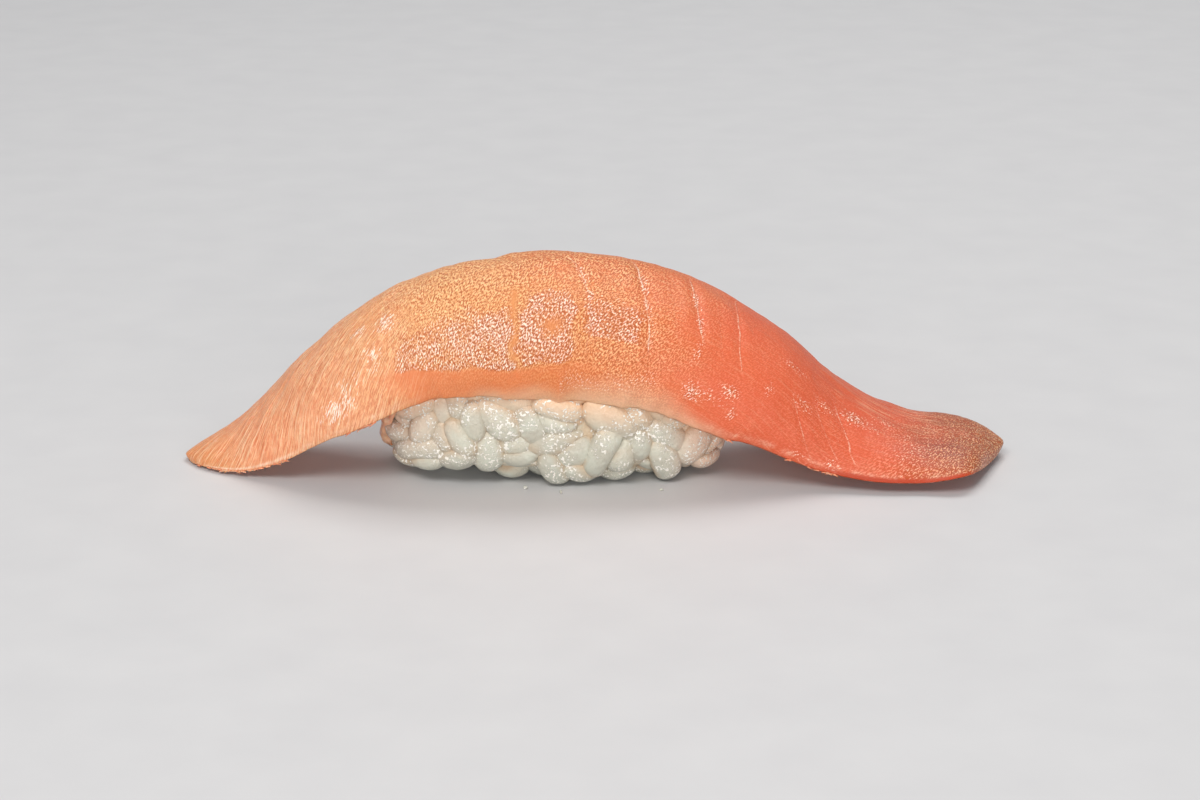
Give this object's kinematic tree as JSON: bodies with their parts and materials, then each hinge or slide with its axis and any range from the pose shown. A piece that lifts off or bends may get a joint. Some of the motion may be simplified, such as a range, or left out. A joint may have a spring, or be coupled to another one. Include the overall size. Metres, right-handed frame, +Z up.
{
  "type": "tuna nigiri",
  "caption": "Piece of nigiri: a long, thin slice of pale coral tuna draped over an oval pad of pressed rice, with both tails of the slice hanging to the table.",
  "frame": {"origin": "middle of the rice pad's flat base, where the piece rests on the table", "axes": "+X along the slice towards its tongue-shaped tail, -Y towards the side where the slice hangs lower over the rice, +Z up"},
  "size_m": [0.1184, 0.0284, 0.0307],
  "materials": {
    "tuna": "wet raw fish, coral to pale orange, with fine fibres and thin pale seams",
    "rice": "moist cooked rice, white and slightly see-through"
  },
  "bodies": {
    "root": {"tuna_slice": "tuna", "rice_pad": "rice"}
  },
  "joints": []
}
